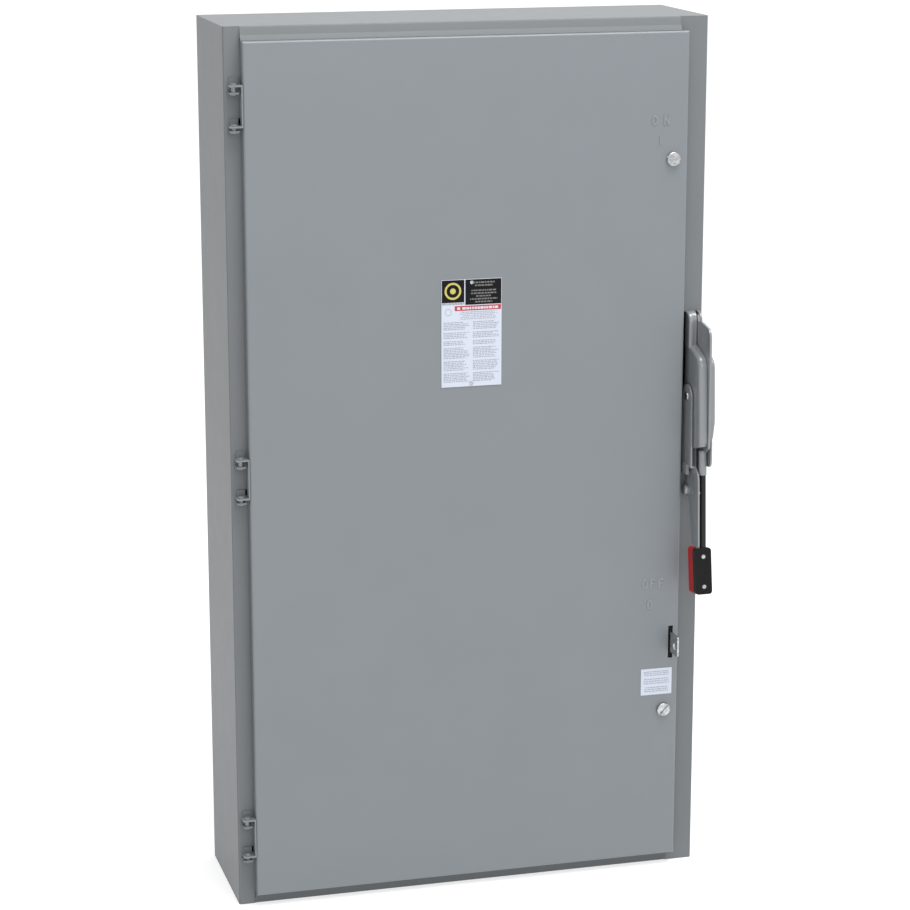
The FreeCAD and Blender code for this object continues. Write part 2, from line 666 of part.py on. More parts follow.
def grip():
    """Black front half, red back half, both riveted through the flat end of the rod."""
    parting = P.grip_black - P.grip_face
    rivet_x = P.grip_centre + 0.4
    rivet_heights = (-13, -57.5)
    rod = cylinder("rod_round", "Z", (P.rod_x, -P.rod_offset, -P.rod_end), P.rod_radius,
                   P.rod_end - P.rod_top)
    tang = box("rod_tang", (P.rod_x - 6, P.rod_x + 6), (parting, parting + P.tang_thick),
               (-65, -2))
    holes = on_grip("grip_holes", *[
        cylinder("grip_hole", "Y", (rivet_x, -P.grip_face - 2, height), P.grip_rivet_radius, 34)
        for height in rivet_heights])
    whole_rod = fuse("rod_whole", on_lever("rod_hung", rod), on_grip("tang_hung", tang))
    node(cut("rod_drilled", whole_rod, holes), "lever_rod")
    black = on_grip("grip_black_hung", grip_block("grip_black", (-P.grip_face, parting)))
    red = on_grip("grip_red_hung", grip_block("grip_red", (parting, parting + P.grip_red)))
    node(cut("grip_front_cut", black, whole_rod, holes), "grip_front")
    node(cut("grip_back_cut", red, whole_rod, holes), "grip_back")
    rivets = []
    for index, height in enumerate(rivet_heights):
        shank = cylinder(f"grip_shank_{index}", "Y", (rivet_x, -P.grip_face, height),
                         P.grip_rivet_radius, P.grip_black + P.grip_red)
        head = cylinder(f"grip_head_{index}", "Y", (rivet_x, -P.grip_face - 1, height), 3, 1)
        rivets.append(fuse(f"grip_rivet_{index}", shank, head))
    node(on_grip("grip_rivets", *rivets), "grip_rivet")


def lock_plate():
    """Flat plate beside the lever, stepped towards it below the housing, with a tongue."""
    foot = front(2.5)
    step_front = front(42)
    crown = cylinder("plate_crown", "X",
                     (P.plate_x, front(P.plate_rivet_front), P.plate_rivet_height), 17.5,
                     P.plate_thick)
    upper = prism("plate_upper", "YZ_Plane",
                  [(foot, P.plate_rivet_height), (front(37.5), P.plate_rivet_height),
                   (step_front, P.plate_step), (foot, P.plate_step - 6)],
                  P.plate_x, P.plate_thick)
    step = box("plate_step", (P.plate_x, P.plate_low_x + P.plate_thick), (step_front, foot),
               (P.plate_step - 2.5, P.plate_step))
    lower = prism("plate_lower", "YZ_Plane",
                  [(foot, P.plate_step), (foot, -60), (front(21), -63), (front(37), -129.5),
                   (front(64), -129.5), (front(58), -28), (front(55.5), -21),
                   (step_front, P.plate_step)], P.plate_low_x, P.plate_thick)
    lower_round = rounded("plate_lower_round", lower, "X",
                          lambda p: near(p.z, -129.5) or near(p.z, -21), 4)
    tongue = box("plate_tongue", (P.plate_x - 2, P.plate_x + P.plate_thick),
                 (front(29), front(9)), (-26, P.plate_step))
    tools = [
        cylinder("plate_hole", "X", (P.plate_low_x - 1, front(38), -51), 3.2, 6),
        cylinder("plate_rivet_hole", "X",
                 (P.plate_x - 3, front(P.plate_rivet_front), P.plate_rivet_height),
                 P.plate_rivet_radius, 7),
        cylinder("plate_screw_hole", "X",
                 (P.plate_low_x - 1, front(P.plate_screw_front), P.plate_screw_height),
                 P.plate_rivet_radius, 6),
    ]
    node(cut("plate_cut", fuse("plate_blank", crown, upper, step, lower_round, tongue), *tools),
         "lock_plate")


def lock_plate_fasteners():
    """Rivet into the housing, dome screw with its block on the flange, and the stop peg."""
    rivet = (front(P.plate_rivet_front), P.plate_rivet_height)
    head = cylinder("plate_rivet_head", "X", (P.plate_x - 1.6, *rivet), 6, 1.6)
    head_soft = rounded("plate_rivet_soft", head, "O", lambda p: near(p.x, P.plate_x - 1.6), 1)
    shank = cylinder("plate_rivet_shank", "X", (P.plate_x - 1, *rivet), P.plate_rivet_radius,
                     P.housing_left - P.plate_x + 1)
    node(fuse("plate_rivet_solid", head_soft, shank), "lock_plate_rivet")
    screw = (front(P.plate_screw_front), P.plate_screw_height)
    behind = P.plate_low_x + P.plate_thick
    dome_x = P.plate_low_x - 6
    dome = cylinder("dome_head", "X", (dome_x, *screw), 8.4, 6)
    dome_soft = rounded("dome_soft", dome, "O", lambda p: near(p.x, dome_x), 4.5)
    stem = cylinder("dome_stem", "X", (P.plate_low_x - 1, *screw), P.plate_rivet_radius,
                    P.plate_thick + 7)
    node(fuse("dome_screw_solid", dome_soft, stem), "lock_plate_screw")
    thread = cylinder("foot_hole", "X", (P.plate_low_x, *screw), P.plate_rivet_radius, 14)
    block = box("foot_block_blank", (behind, behind + 6), (front(20), front(0)), (-60, -44))
    node(cut("foot_block_cut", block, thread), "lock_plate_block")
    node(cylinder("peg_bar", "X", (behind, front(56), -48), 1.8, 1.2), "lock_plate_peg")


# ---------------------------------------------------------------- switch inside

def poles():
    """Middles of the three poles across."""
    return [P.pole_middle + P.pole_pitch * step for step in (-1, 0, 1)]


def inside(distance):
    """Y of a point this far in front of the wall."""
    return -dim(distance)


def pan_corners():
    """Fixing points of the mounting pan."""
    return [(x, z) for x in (-205, 305) for z in (-325, 405)]


def mounting_pan():
    """Steel pan that carries the switch, standing off the back of the box."""
    plate = box("pan_plate", (-225, 325), (inside(P.pan_face), inside(P.pan_face - P.pan_thick)),
                (-345, 425))
    holes = [cylinder("pan_hole", "Y", (x, inside(P.pan_face) - 1, z), 4, 6)
             for x, z in pan_corners()]
    node(cut("pan_cut", plate, *holes), "mounting_pan")
    spacers = []
    nuts = []
    for x, z in pan_corners():
        collar = cylinder("stand_collar", "Y", (x, inside(P.pan_face - P.pan_thick), z), 8,
                          P.pan_face - P.pan_thick - P.sheet)
        stud = cylinder("stand_stud", "Y", (x, inside(P.pan_face + 9), z), 4,
                        P.pan_face + 9 - P.sheet)
        spacers.append(fuse("pan_stand", collar, stud))
        nut = hexagon("pan_nut_blank", (x, inside(P.pan_face + 6.5), z), 15, 6.5)
        bore = cylinder("pan_nut_bore", "Y", (x, inside(P.pan_face + 8), z), 4, 9)
        nuts.append(cut("pan_nut_cut", nut, bore))
    node(group("pan_stands", spacers), "pan_standoff")
    node(group("pan_nuts", nuts), "pan_nut")


def insulating_bases():
    """Moulded bases of the line side, the blade hinges and the load side."""
    across = (-195, 165)
    back = inside(P.pan_face)
    for label, face, z in (("line_base", P.line_base_face, (230, 400)),
                           ("hinge_base", P.low_base_face, (40, 190)),
                           ("load_base", P.low_base_face, (-335, -215))):
        node(box(label + "_moulding", across, (inside(face), back), z), label)


def jaw(name, x, y, z, gap, thick):
    """U-shaped spring jaw: two plates on a foot that lies on the base behind it."""
    gap = dim(gap)
    low = box(name + "_low", (x - gap / 2 - thick, x - gap / 2), y, z)
    high = box(name + "_high", (x + gap / 2, x + gap / 2 + thick), y, z)
    foot = box(name + "_foot", (x - gap / 2 - thick, x + gap / 2 + thick), (y[1] - 3, y[1]), z)
    return fuse(name, low, high, foot)


def contacts():
    """Line jaws, blade hinge clips and fuse clips, three or six of each."""
    gap = P.blade_thick + 1.2
    line, clips, fuse_clips = [], [], []
    for index, x in enumerate(poles()):
        line.append(jaw(f"line_jaw_{index}", x, (inside(90), inside(P.line_base_face)),
                        (242, 282), gap, 3))
        clip = jaw(f"hinge_clip_{index}", x, (inside(86), inside(P.low_base_face)), (132, 168),
                   gap, 4)
        bore = cylinder(f"hinge_clip_bore_{index}", "X",
                        (x - 20, inside(P.blade_axis), P.blade_height), 4, 40)
        clips.append(cut(f"hinge_clip_cut_{index}", clip, bore))
        for level, z in (("upper", (58, 84)), ("lower", (-246, -220))):
            fuse_clips.append(jaw(f"fuse_clip_{level}_{index}", x,
                                  (inside(112), inside(P.low_base_face)), z, 6, 3))
    node(group("line_jaws", line), "line_jaw")
    node(group("hinge_clips", clips), "blade_hinge_clip")
    node(group("fuse_clips", fuse_clips), "fuse_clip")


def hinge_bolts():
    """Bolt through each hinge clip and its blade."""
    bolts = []
    for index, x in enumerate(poles()):
        shank = cylinder(f"blade_bolt_shank_{index}", "X",
                         (x - 12, inside(P.blade_axis), P.blade_height), 4, 24)
        head = cylinder(f"blade_bolt_head_{index}", "X",
                        (x - 12.6, inside(P.blade_axis), P.blade_height), 7, 4)
        nut = cylinder(f"blade_bolt_nut_{index}", "X",
                       (x + 8.6, inside(P.blade_axis), P.blade_height), 7, 4)
        bolts.append(fuse(f"blade_bolt_{index}", shank, head, nut))
    node(group("blade_bolts", bolts), "blade_hinge_bolt")


def tilt_open(obj):
    """Tilt a rotor piece, drawn upright about the blade hinge line, to the open position."""
    turn = FreeCAD.Rotation(FreeCAD.Vector(1, 0, 0), P.blade_open.number)
    return place(obj, 0, inside(P.blade_axis), P.blade_height, rotation=turn)


def rotor():
    """Three knife blades tied by the insulated crossbar, and the arm that turns them."""
    half_thick = P.blade_thick / 2
    half_wide = P.blade_wide / 2
    bar_half = P.crossbar_side / 2
    blades, openings = [], []
    for index, x in enumerate(poles()):
        strip = box(f"blade_strip_{index}", (x - half_thick, x + half_thick),
                    (-half_wide, half_wide), (-14, P.blade_long))
        ends = rounded(f"blade_ends_{index}", strip, "X", lambda p: True, 8)
        bore = cylinder(f"blade_bore_{index}", "X", (x - 10, 0, 0), 4 + P.running_gap, 20)
        blades.append(cut(f"blade_{index}", ends, bore))
        openings.append(box(f"crossbar_window_{index}", (x - half_thick, x + half_thick),
                            (-half_wide, half_wide), (0, P.blade_long)))
    node(tilt_open(group("blade_set", blades)), "knife_blade")
    bar = box("crossbar_bar", (-185, 170), (-bar_half, bar_half),
              (P.crossbar_arm - bar_half, P.crossbar_arm + bar_half))
    node(tilt_open(cut("crossbar_cut", bar, *openings)), "crossbar")
    arm = box("drive_plate", (170, 174), (-11, 11), (-11, P.crossbar_arm + bar_half))
    shaft = cylinder("drive_shaft", "X", (170, 0, 0), 7, 36)
    node(tilt_open(fuse("drive_solid", arm, shaft)), "drive_arm")


def terminal_lugs():
    """Aluminium cable lugs on the line and load bases, with their clamp screws."""
    for label, base, z in (("line_lug", P.line_base_face, (330, 380)),
                           ("load_lug", P.low_base_face, (-325, -275))):
        lugs, screws = [], []
        middle = (z[0] + z[1]) / 2
        for index, x in enumerate(poles()):
            block = box(f"{label}_block_{index}", (x - 19, x + 19),
                        (inside(base + 42), inside(base)), z)
            bore = cylinder(f"{label}_bore_{index}", "Z", (x, inside(base + 19), z[0] - 1),
                            P.lug_bore_radius, z[1] - z[0] + 2)
            thread = cylinder(f"{label}_thread_{index}", "Y", (x, inside(base + 43), middle),
                              7, 12.5)
            lugs.append(cut(f"{label}_cut_{index}", block, bore, thread))
            screws.append(cylinder(f"{label}_screw_{index}", "Y", (x, inside(base + 50), middle),
                                   7, 17))
        node(group(label + "_set", lugs), label)
        node(group(label + "_screws", screws), label + "_screw")


def arc_chutes():
    """Arc chute over each line jaw: two side plates, a top and three splitter plates."""
    chutes = []
    y = (inside(P.barrier_face), inside(P.line_base_face))
    for index, x in enumerate(poles()):
        parts = [
            box("chute_side_low", (x - 30, x - 27), y, (236, 326)),
            box("chute_side_high", (x + 27, x + 30), y, (236, 326)),
            box("chute_top", (x - 30, x + 30), y, (323, 326)),
        ]
        for height in (288, 299, 310):
            parts.append(box("chute_splitter", (x - 27, x + 27), (inside(146), inside(98)),
                             (height, height + 2)))
        chutes.append(fuse(f"chute_{index}", *parts))
    node(group("chutes", chutes), "arc_chute")


def fuses():
    """Three cartridge fuses: insulating tube, metal end caps with knife ends."""
    tubes, caps = [], []
    for index, x in enumerate(poles()):
        y = inside(P.fuse_axis)
        tubes.append(cylinder(f"fuse_tube_{index}", "Z", (x, y, -196), P.fuse_radius, 230))
        for level, start, knife in (("upper", 34, (54, 86)), ("lower", -216, (-248, -216))):
            cap = cylinder(f"fuse_cap_{level}_{index}", "Z", (x, y, start), P.fuse_radius + 1.5, 20)
            end = box(f"fuse_knife_{level}_{index}", (x - 3, x + 3), (y - 18, y + 18), knife)
            caps.append(fuse(f"fuse_end_{level}_{index}", cap, end))
    node(group("fuse_tubes", tubes), "fuse_tube")
    node(group("fuse_caps", caps), "fuse_cap")


def barriers_and_shield():
    """Fibre sheets between the poles, and the clear shield over the line lugs."""
    sheets = []
    for index, step in enumerate((-0.5, 0.5)):
        x = P.pole_middle + P.pole_pitch * step
        for level, base, z in (("line", P.line_base_face, (232, 398)),
                               ("load", P.low_base_face, (-333, -217))):
            sheets.append(box(f"barrier_{level}_{index}", (x - 1, x + 1),
                              (inside(P.barrier_face), inside(base)), z))
    node(group("barriers", sheets), "phase_barrier")
    window = box("shield_window", (-195, 165), (inside(163), inside(160)), (300, 400))
    legs = [box("shield_leg", x, (inside(160), inside(P.line_base_face)), (385, 400))
            for x in ((-195, -191), (161, 165))]
    node(fuse("shield_solid", window, *legs), "line_shield")


def mechanism_cover():
    """Sheet cover of the spring mechanism between the poles and the handle."""
    outer = box("mechanism_outer", (200, 318), (inside(P.barrier_face), inside(P.pan_face)),
                (60, 235))
    inner = box("mechanism_inner", (202, 316),
                (inside(P.barrier_face - P.sheet), inside(P.pan_face - 1)), (62, 233))
    hole = cylinder("mechanism_hole", "X", (199, inside(P.blade_axis), P.blade_height), 7.5, 5)
    node(cut("mechanism_cut", outer, inner, hole), "mechanism_cover")


def ground_bar():
    """Ground terminal bar on the back of the box, with its binding screws."""
    node(box("ground_block", (120, 250), (inside(16), inside(P.sheet)), (-470, -452)), "ground_bar")
    screws = []
    for step in range(6):
        x = 130 + 22 * step
        screws.append(cylinder("ground_screw_head", "Y", (x, inside(20), -461), 5, 4))
    node(group("ground_screws", screws), "ground_screw")


def check_and_export():
    """Recompute, refuse anything unsound and write one STEP file for each sub-part."""
    doc.recompute()
    for obj in doc.Objects:
        if "Invalid" in obj.State or "Error" in obj.State:
            raise RuntimeError(f"{obj.Name} did not compute: {obj.State}")
    os.makedirs("parts", exist_ok=True)
    for obj in NODES:
        shape = obj.Shape
        if shape.isNull() or not shape.isValid() or not shape.Solids:
            raise RuntimeError(f"{obj.Label} has no sound shape")
        shape.exportStep(f"parts/{obj.Label}.step")
        print(f"{obj.Label}: {len(shape.Solids)} solid(s), {shape.Volume / 1000:.1f} cm3")


enclosure_wrapper()
end_wall(1)
end_wall(-1)
door_panel()
door_stiffeners()
hinge_leaves_door()
hinge_leaves_box()
hinge_rivets()
door_fastener("upper", P.latch_upper, -20)
door_fastener("lower", P.latch_lower, 47)
padlock_hasp()
label_plates()
handle_housing()
pivot_pin()
lever_arm()
grip()
lock_plate()
lock_plate_fasteners()
mounting_pan()
insulating_bases()
contacts()
hinge_bolts()
rotor()
terminal_lugs()
arc_chutes()
fuses()
barriers_and_shield()
mechanism_cover()
ground_bar()
check_and_export()
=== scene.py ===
import json
import math
import random

import bpy
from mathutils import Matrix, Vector


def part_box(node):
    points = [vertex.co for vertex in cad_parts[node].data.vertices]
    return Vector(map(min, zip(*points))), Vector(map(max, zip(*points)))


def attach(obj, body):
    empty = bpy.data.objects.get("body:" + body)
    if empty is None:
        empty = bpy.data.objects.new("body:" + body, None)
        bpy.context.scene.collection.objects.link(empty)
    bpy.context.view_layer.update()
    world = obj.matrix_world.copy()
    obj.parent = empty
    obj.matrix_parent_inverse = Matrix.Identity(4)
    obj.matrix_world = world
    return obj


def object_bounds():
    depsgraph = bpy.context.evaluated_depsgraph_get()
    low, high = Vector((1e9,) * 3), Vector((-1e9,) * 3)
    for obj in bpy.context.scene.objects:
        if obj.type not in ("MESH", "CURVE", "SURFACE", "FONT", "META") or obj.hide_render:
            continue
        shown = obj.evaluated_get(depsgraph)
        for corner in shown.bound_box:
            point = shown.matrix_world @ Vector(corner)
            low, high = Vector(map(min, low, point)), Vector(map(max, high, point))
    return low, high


# A tall grey fusible safety switch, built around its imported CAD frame.  Metres, +Z up, door at -Y.

MM = 0.001
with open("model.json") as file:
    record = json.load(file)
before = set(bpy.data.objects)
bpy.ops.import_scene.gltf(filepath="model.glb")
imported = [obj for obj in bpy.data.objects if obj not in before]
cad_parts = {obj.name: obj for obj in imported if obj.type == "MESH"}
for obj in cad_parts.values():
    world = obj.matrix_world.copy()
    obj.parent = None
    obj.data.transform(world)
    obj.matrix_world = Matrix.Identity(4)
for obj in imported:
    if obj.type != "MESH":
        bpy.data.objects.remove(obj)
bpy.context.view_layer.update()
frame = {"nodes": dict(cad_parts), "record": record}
nodes = frame["nodes"]
slot_of = {part["node"]: part["material_slot"] for part in frame["record"]["subparts"]}


# ---------------------------------------------------------------- materials

GRAIN_DEPTH = 0.6 * MM


def new_material(name):
    """An empty node material with its Principled shader."""
    material = bpy.data.materials.new(name)
    material.use_nodes = True
    return material, material.node_tree.nodes, material.node_tree.links


def noise(tree_nodes, links, scale, detail=3.0, roughness=0.5):
    """A noise texture in object space."""
    coords = tree_nodes.new("ShaderNodeTexCoord")
    texture = tree_nodes.new("ShaderNodeTexNoise")
    texture.inputs["Scale"].default_value = scale
    texture.inputs["Detail"].default_value = detail
    texture.inputs["Roughness"].default_value = roughness
    links.new(coords.outputs["Object"], texture.inputs["Vector"])
    return texture


def two_tone(tree_nodes, links, factor, dark, light):
    """A colour that wanders between two tones."""
    ramp = tree_nodes.new("ShaderNodeValToRGB")
    for stop, position, tone in zip(ramp.color_ramp.elements, (0.35, 0.65), (dark, light)):
        stop.position = position
        stop.color = (*tone, 1)
    links.new(factor, ramp.inputs["Fac"])
    return ramp.outputs["Color"]


def surface(name, colour, spread=0.04, tone_scale=9.0, roughness=0.5, rough_spread=0.05,
            metallic=0.0, grain=0.0, grain_scale=900.0, specular=0.5):
    """A finish with a faint drift of tone and gloss, and a fine grain in its bump."""
    material, tree_nodes, links = new_material(name)
    shader = tree_nodes["Principled BSDF"]
    shader.inputs["Metallic"].default_value = metallic
    shader.inputs["Specular IOR Level"].default_value = specular
    drift = noise(tree_nodes, links, tone_scale)
    dark = [value * (1 - spread) for value in colour]
    light = [value * (1 + spread) for value in colour]
    links.new(two_tone(tree_nodes, links, drift.outputs["Fac"], dark, light),
              shader.inputs["Base Color"])
    gloss = tree_nodes.new("ShaderNodeMapRange")
    gloss.inputs["To Min"].default_value = roughness - rough_spread
    gloss.inputs["To Max"].default_value = roughness + rough_spread
    links.new(noise(tree_nodes, links, tone_scale * 4).outputs["Fac"], gloss.inputs["Value"])
    links.new(gloss.outputs["Result"], shader.inputs["Roughness"])
    if grain:
        bump = tree_nodes.new("ShaderNodeBump")
        bump.inputs["Strength"].default_value = grain
        bump.inputs["Distance"].default_value = GRAIN_DEPTH
        links.new(noise(tree_nodes, links, grain_scale, 2.0).outputs["Fac"], bump.inputs["Height"])
        links.new(bump.outputs["Normal"], shader.inputs["Normal"])
    return material


def clear_plastic():
    """Clear sheet with a faint drift of tint."""
    material = surface("clear_polycarbonate", (0.85, 0.9, 0.92), spread=0.02, roughness=0.15)
    shader = material.node_tree.nodes["Principled BSDF"]
    shader.inputs["Alpha"].default_value = 0.3
    material.surface_render_method = "BLENDED"
    return material


def enamel(name, colour, roughness=0.36, rough_spread=0.03, grain=0.05, specular=0.1):
    """Sprayed enamel on sheet steel."""
    return surface(name, colour, spread=0.012, roughness=roughness, rough_spread=rough_spread,
                   grain=grain, grain_scale=ORANGE_PEEL, specular=specular)


ORANGE_PEEL = 700.0
PAINT = (0.171, 0.189, 0.203)
# The shell's enamel is the door's paint made darker: painted shade on the flanges, walls and box
# hinge leaves beside the door.
SHELL_PAINTED_SHADE = (0.158, 0.170, 0.177)
# The lower end wall's enamel is darker still: painted shade under the door.
FOOT_PAINTED_SHADE = [0.72 * value for value in SHELL_PAINTED_SHADE]
CAST = (0.190, 0.201, 0.209)

# One finish for each material slot of the record.
finishes = {
    "grey_enamel": enamel("grey_enamel", PAINT, roughness=0.32, specular=0.5),
    "grey_cast": surface("grey_cast_enamel", CAST, spread=0.02, tone_scale=30.0, roughness=0.19,
                         rough_spread=0.02, grain=0.04, grain_scale=ORANGE_PEEL, specular=0.95),
    "zinc": surface("bright_zinc", (0.46, 0.47, 0.48), spread=0.22, tone_scale=220.0,
                    roughness=0.24, rough_spread=0.08, metallic=1.0, grain=0.30,
                    grain_scale=260.0),
    "black_steel": surface("black_steel", (0.005, 0.005, 0.005), spread=0.2, tone_scale=60.0,
                           roughness=0.15, rough_spread=0.03, grain=0.03, specular=0.36),
    "black_grip": surface("black_plastic", (0.0045, 0.004, 0.004), spread=0.15, tone_scale=80.0,
                          roughness=0.30, grain=0.22, grain_scale=1400.0, specular=0.2),
    "red_grip": surface("red_plastic", (0.37, 0.019, 0.018), spread=0.06, tone_scale=40.0,
                        roughness=0.42, grain=0.06, specular=0.12),
    "plate_print": surface("white_foil", (0.50, 0.535, 0.615), spread=0.01, roughness=0.38),
    "copper": surface("copper", (0.72, 0.38, 0.24), spread=0.10, tone_scale=60.0, roughness=0.32,
                      metallic=1.0, grain=0.05),
    "moulding": surface("red_moulding", (0.17, 0.038, 0.026), spread=0.10, tone_scale=40.0,
                        roughness=0.48, grain=0.10),
    "aluminium_lug": surface("tinned_aluminium", (0.72, 0.73, 0.74), spread=0.06, tone_scale=90.0,
                             roughness=0.36, metallic=1.0, grain=0.08),
    "fibre": surface("fibre_sheet", (0.15, 0.14, 0.12), spread=0.12, tone_scale=50.0,
                     roughness=0.72, grain=0.15),
    "fuse_body": surface("fuse_tube_wrap", (0.44, 0.37, 0.25), spread=0.10, tone_scale=30.0,
                         roughness=0.55, grain=0.06),
    "clear_shield": clear_plastic(),
    "galvanised": surface("galvanised_sheet", (0.52, 0.54, 0.55), spread=0.18, tone_scale=45.0,
                          roughness=0.42, metallic=0.9, grain=0.05),
}

# Finishes of single pieces, where they differ from the one of their slot.
# Painted shade: the enclosure wrapper, top end wall and box hinge leaves take a darker copy of the
# door's enamel.
painted_shade_shell_paint = enamel("grey_enamel_shell_painted_shade", SHELL_PAINTED_SHADE)
# Painted shade: the lower end wall takes a still darker copy of the door's enamel.
painted_shade_foot_paint = enamel("grey_enamel_foot_painted_shade", FOOT_PAINTED_SHADE)
glossy_paint = enamel("grey_enamel_glossy", PAINT, roughness=0.20, rough_spread=0.02, grain=0.03,
                      specular=1.0)
dull_zinc = surface("dull_zinc", (0.30, 0.31, 0.32), spread=0.16, tone_scale=220.0, roughness=0.46,
                    rough_spread=0.05, metallic=0.8, grain=0.10, grain_scale=400.0)

# Printing inks.
ink_black = surface("ink_black", (0.006, 0.006, 0.007), spread=0.1, roughness=0.4, specular=0.12)
ink_yellow = surface("ink_yellow", (0.47, 0.42, 0.11), spread=0.03, roughness=0.4, specular=0.3)
ink_red = surface("ink_red", (0.40, 0.035, 0.05), spread=0.03, roughness=0.4, specular=0.3)
ink_grey = surface("ink_grey", (0.27, 0.29, 0.34), spread=0.08, tone_scale=120.0, roughness=0.4)
ink_dim = surface("ink_dim", (0.16, 0.16, 0.16), spread=0.1, roughness=0.4, specular=0.2)
ink_white = surface("ink_white", (0.52, 0.54, 0.58), spread=0.02, roughness=0.4)


# ---------------------------------------------------------------- helpers

SHARP_ANGLE = math.radians(35.0)


def soften(obj, width, segments=2):
    """Catch the light on every sharp edge."""
    bevel = obj.modifiers.new("soft_edges", "BEVEL")
    bevel.width = width
    bevel.segments = segments
    bevel.limit_method = "ANGLE"
    bevel.angle_limit = SHARP_ANGLE
    bevel.harden_normals = False


def solid(name, vertices, faces, material, body):
    """A mesh object that rides a body and wears the given material."""
    mesh = bpy.data.meshes.new(name)
    mesh.from_pydata(vertices, [], faces)
    mesh.validate()
    mesh.materials.append(material)
    obj = bpy.data.objects.new(name, mesh)
    bpy.context.scene.collection.objects.link(obj)
    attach(obj, body)
    return obj


# The six faces of a block, whose corners run through x, then y, then z.
BLOCK_FACES = ((0, 1, 3, 2), (4, 6, 7, 5), (0, 4, 5, 1), (2, 3, 7, 6), (0, 2, 6, 4), (1, 5, 7, 3))


def blocks(name, spans, material, body):
    """Many blocks in one object; each span is (x0, x1, y0, y1, z0, z1)."""
    vertices, faces = [], []
    for x0, x1, y0, y1, z0, z1 in spans:
        base = len(vertices)
        vertices += [(x, y, z) for x in (x0, x1) for y in (y0, y1) for z in (z0, z1)]
        faces += [tuple(base + corner for corner in face) for face in BLOCK_FACES]
    return solid(name, vertices, faces, material, body)


def oval(cx, cz, half_wide, half_tall, count):
    """Points around an oval in the door plane."""
    turns = [2 * math.pi * step / count for step in range(count)]
    return [(cx + half_wide * math.cos(turn), cz + half_tall * math.sin(turn)) for turn in turns]


def disc(cx, cz, radius, count):
    """Points around a circle in the door plane."""
    return oval(cx, cz, radius, radius, count)


def slab(name, outline, y_back, thick, material, body, hole=None):
    """A flat shape in the door plane, raised towards -Y, with an optional hole of equal count."""
    count = len(outline)
    rings = [outline] if hole is None else [outline, hole]
    vertices = [(x, y, z) for ring in rings for y in (y_back, y_back - thick) for x, z in ring]
    faces = []
    for step in range(count):
        after = (step + 1) % count
        faces.append((step, after, count + after, count + step))
        if hole is not None:
            inner = 2 * count
            faces.append((inner + step, inner + count + step, inner + count + after, inner + after))
            faces.append((count + step, count + after, inner + count + after, inner + count + step))
            faces.append((step, inner + step, inner + after, after))
    if hole is None:
        faces.append(tuple(range(count - 1, -1, -1)))
        faces.append(tuple(range(count, 2 * count)))
    return solid(name, vertices, faces, material, body)


# ---------------------------------------------------------------- CAD nodes

# Width of the rounded edges in millimetres, for each material slot.
edge_width = {
    "grey_enamel": 0.5, "grey_cast": 0.9, "zinc": 0.35, "black_steel": 0.3, "black_grip": 0.9,
    "red_grip": 0.9, "plate_print": 0.1, "copper": 0.4, "moulding": 1.0, "aluminium_lug": 0.8,
    "fibre": 0.2, "fuse_body": 0.5, "clear_shield": 0.3, "galvanised": 0.4,
}
# The wrapper, top end wall and box hinge leaf wear the painted-shade shell enamel; the lower end
# wall wears the darker painted-shade foot enamel.
own_finish = {
    "enclosure_wrapper": painted_shade_shell_paint, "end_wall_top": painted_shade_shell_paint, "end_wall_bottom": painted_shade_foot_paint,
    "hinge_leaf_box": painted_shade_shell_paint, "hinge_rivet": glossy_paint, "lock_plate_screw": dull_zinc,
}
for name, obj in nodes.items():
    obj.data.materials.clear()
    obj.data.materials.append(own_finish.get(name, finishes[slot_of[name]]))
    soften(obj, edge_width[slot_of[name]] * MM)


# ---------------------------------------------------------------- labels

FILM = 0.12 * MM
WORD = (1.6, 5.2)
WORD_GAP = (0.8, 1.3)
SHORTEST_WORD = 0.6 * MM


def text_rows(name, x0, x1, z_top, z_bottom, rows, face, material, seed, ink=0.55, ragged=0.0,
              centred=False):
    """Rows of short unreadable dashes, like a block of small print seen from far off."""
    source = random.Random(seed)
    pitch = (z_top - z_bottom) / rows
    spans = []
    for row in range(rows):
        z1 = z_top - row * pitch
        z0 = z1 - pitch * ink
        spare = (x1 - x0) * ragged * source.random()
        x = x0 + (spare / 2 if centred else 0)
        end = x1 - (spare / 2 if centred else spare)
        while x < end - SHORTEST_WORD:
            stop = min(x + source.uniform(*WORD) * MM, end)
            spans.append((x, stop, face - FILM, face, z0, z1))
            x = stop + source.uniform(*WORD_GAP) * MM
    return blocks(name, spans, material, "door")


def panel(name, x0, x1, z0, z1, face, material):
    """One flat printed rectangle."""
    return blocks(name, [(x0, x1, face - FILM, face, z0, z1)], material, "door")


def ring(name, x, z, outer, inner, face, material):
    """One flat printed ring."""
    return slab(name, disc(x, z, outer, RING_POINTS), face, FILM, material, "door",
                hole=disc(x, z, inner, RING_POINTS))


RING_POINTS = 48
PLATE_EDGE = 0.6 * MM
SQUARE_WIDE = 33.5 * MM
SQUARE_FOOT = 32.8 * MM
HEADER_GAP = 1.6 * MM
HEADER_FOOT = 36.8 * MM
MARK_OUTER = 12.2 * MM
MARK_INNER = 9.3 * MM
MARK_DOT = 4.2 * MM
BAND_GAP = 1.2 * MM
BAND_TALL = 7 * MM
BAND_START = 0.22
SMALL_MARK_OUTER = 5 * MM
SMALL_MARK_INNER = 4.2 * MM
PRINT_START = 16 * MM
PRINT_FOOT = 6 * MM
PRINT_ROWS = 36
# Upper and lower end of each paragraph, as shares of the height of a column.
PARAGRAPHS = ((0.0, 0.14), (0.17, 0.28), (0.31, 0.39), (0.42, 0.61), (0.64, 0.81), (0.84, 1.0))
NOTICE_PARAGRAPHS = ((0.10, 0.30), (0.38, 0.62), (0.70, 0.92))


